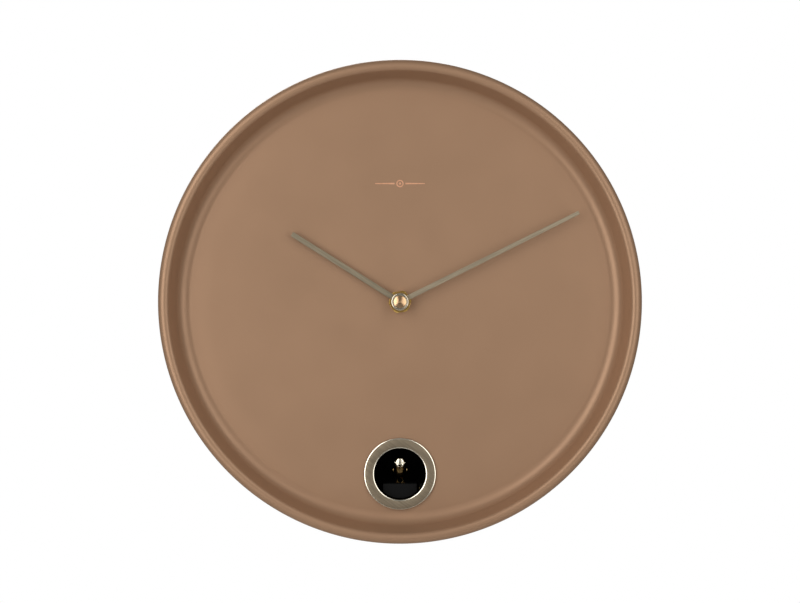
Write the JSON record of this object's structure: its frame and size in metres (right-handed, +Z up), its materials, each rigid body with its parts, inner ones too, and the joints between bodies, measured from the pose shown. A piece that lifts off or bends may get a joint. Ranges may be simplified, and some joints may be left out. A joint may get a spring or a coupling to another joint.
{
  "type": "cuckoo wall clock",
  "caption": "Round dished-metal wall clock with slim hands and a gold cuckoo that slides out through a ringed window, with its quartz movement, cuckoo drive, speaker and battery box.",
  "frame": {"origin": "on the hands' axis, in the wall plane, on the back cover's rear face", "axes": "-Y out of the dial towards the viewer, +Y into the wall, +Z up (12 o'clock), +X right (3 o'clock)"},
  "size_m": [0.3, 0.055, 0.3],
  "materials": {
    "taupe_paint": "satin metallic taupe paint on pressed steel",
    "dark_plastic": "moulded black",
    "steel": "zinc-plated",
    "champagne_metal": "brushed, champagne anodised",
    "brass": "turned",
    "gold": "polished gold plate",
    "rubber": "matte black",
    "white_plastic": "natural white acetal",
    "grey_plastic": "moulded dark grey",
    "copper_winding": "enamelled copper wire",
    "board_green": "green solder mask",
    "cone_paper": "black pressed paper",
    "cell_wrap": "plain printed sleeve",
    "red_wire": "red insulation",
    "black_wire": "black insulation"
  },
  "bodies": {
    "clock_body": {"case_shell": "taupe_paint", "back_cover": "dark_plastic", "movement_front": "dark_plastic", "movement_rear": "dark_plastic", "train_bridge": "dark_plastic", "cuckoo_housing": "dark_plastic", "test_switch": "dark_plastic", "battery_box": "dark_plastic", "cover_screw_1": "steel", "cover_screw_2": "steel", "cover_screw_3": "steel", "cover_screw_4": "steel", "housing_screw_1": "steel", "housing_screw_2": "steel", "ring_clip": "steel", "stator": "steel", "quartz_crystal": "steel", "guide_rod": "steel", "motor": "steel", "speaker_frame": "steel", "mode_switch": "steel", "contact_strip": "steel", "window_ring": "champagne_metal", "fixing_nut": "brass", "threaded_bush": "brass", "gasket": "rubber", "coil": "copper_winding", "movement_board": "board_green", "sound_board": "board_green", "speaker_cone": "cone_paper", "cell_1": "cell_wrap", "cell_2": "cell_wrap", "battery_lead_red": "red_wire", "speaker_lead_red": "red_wire", "motor_lead_red": "red_wire", "movement_lead_red": "red_wire", "battery_lead_black": "black_wire", "speaker_lead_black": "black_wire", "motor_lead_black": "black_wire", "movement_lead_black": "black_wire"},
    "minute_group": {"centre_arbor": "brass", "centre_wheel": "white_plastic", "minute_hand": "champagne_metal", "cap_nut": "champagne_metal"},
    "hour_group": {"hour_wheel": "white_plastic", "hour_hand": "champagne_metal"},
    "minute_wheel_body": {"minute_wheel": "white_plastic"},
    "set_knob_body": {"set_knob": "grey_plastic"},
    "third_wheel_body": {"third_wheel": "white_plastic"},
    "second_wheel_body": {"second_wheel": "white_plastic"},
    "step_wheel_body": {"step_wheel": "white_plastic"},
    "rotor_body": {"rotor": "steel"},
    "bird_carriage": {"sled": "grey_plastic", "bird": "gold"},
    "drive_gear_body": {"drive_gear": "dark_plastic"},
    "motor_shaft": {"motor_pinion": "brass"},
    "battery_lid": {"battery_door": "dark_plastic"},
    "mode_slider_body": {"mode_slider": "white_plastic"},
    "test_button_body": {"test_button": "grey_plastic"}
  },
  "joints": [
    {"name": "minute_turn", "type": "hinge", "parent": "clock_body", "child": "minute_group", "pos_m": [0, 0, 0], "axis": [0, 1, 0], "continuous": true},
    {"name": "hour_turn", "type": "hinge", "parent": "clock_body", "child": "hour_group", "pos_m": [0, 0, 0], "axis": [0, 1, 0], "continuous": true},
    {"name": "minute_wheel_turn", "type": "hinge", "parent": "clock_body", "child": "minute_wheel_body", "pos_m": [0, 0, 0.0084], "axis": [0, 1, 0], "continuous": true},
    {"name": "set_knob_turn", "type": "hinge", "parent": "clock_body", "child": "set_knob_body", "pos_m": [0, 0, 0.0168], "axis": [0, 1, 0], "continuous": true},
    {"name": "third_wheel_turn", "type": "hinge", "parent": "clock_body", "child": "third_wheel_body", "pos_m": [-0.00842, 0, -0.00486], "axis": [0, 1, 0], "continuous": true},
    {"name": "second_wheel_turn", "type": "hinge", "parent": "clock_body", "child": "second_wheel_body", "pos_m": [0, 0, 0], "axis": [0, 1, 0], "continuous": true},
    {"name": "step_wheel_turn", "type": "hinge", "parent": "clock_body", "child": "step_wheel_body", "pos_m": [0.00655, 0, -0.00378], "axis": [0, 1, 0], "continuous": true},
    {"name": "rotor_turn", "type": "hinge", "parent": "clock_body", "child": "rotor_body", "pos_m": [0.01264, 0, -0.006], "axis": [0, 1, 0], "continuous": true},
    {"name": "bird_slide", "type": "slide", "parent": "clock_body", "child": "bird_carriage", "axis": [0, -1, 0], "range_m": [0, 0.02]},
    {"name": "drive_gear_turn", "type": "hinge", "parent": "clock_body", "child": "drive_gear_body", "pos_m": [0, -0.0262, -0.122], "axis": [1, 0, 0], "range_deg": [0, 240]},
    {"name": "motor_shaft_turn", "type": "hinge", "parent": "clock_body", "child": "motor_shaft", "pos_m": [0, -0.0164, -0.12001], "axis": [1, 0, 0], "range_deg": [-720, 0]},
    {"name": "battery_door_hinge", "type": "hinge", "parent": "clock_body", "child": "battery_lid", "pos_m": [0.072, -0.0012, -0.0381], "axis": [-1, 0, 0], "range_deg": [0, 100]},
    {"name": "mode_slide", "type": "slide", "parent": "clock_body", "child": "mode_slider_body", "axis": [1, 0, 0], "range_m": [0, 0.004]},
    {"name": "test_press", "type": "slide", "parent": "clock_body", "child": "test_button_body", "axis": [0, -1, 0], "range_m": [0, 0.0008], "stiffness_N_per_m": 300}
  ],
  "couplings": [
    {"joint": "hour_turn", "follows": "minute_turn", "ratio": 0.083333},
    {"joint": "minute_wheel_turn", "follows": "minute_turn", "ratio": -0.33333},
    {"joint": "set_knob_turn", "follows": "minute_turn", "ratio": 1},
    {"joint": "third_wheel_turn", "follows": "minute_turn", "ratio": -8},
    {"joint": "second_wheel_turn", "follows": "minute_turn", "ratio": 60},
    {"joint": "step_wheel_turn", "follows": "minute_turn", "ratio": -360},
    {"joint": "rotor_turn", "follows": "minute_turn", "ratio": 1800},
    {"joint": "drive_gear_turn", "follows": "bird_slide", "rad_per_m": 208.33},
    {"joint": "motor_shaft_turn", "follows": "bird_slide", "rad_per_m": -625}
  ]
}
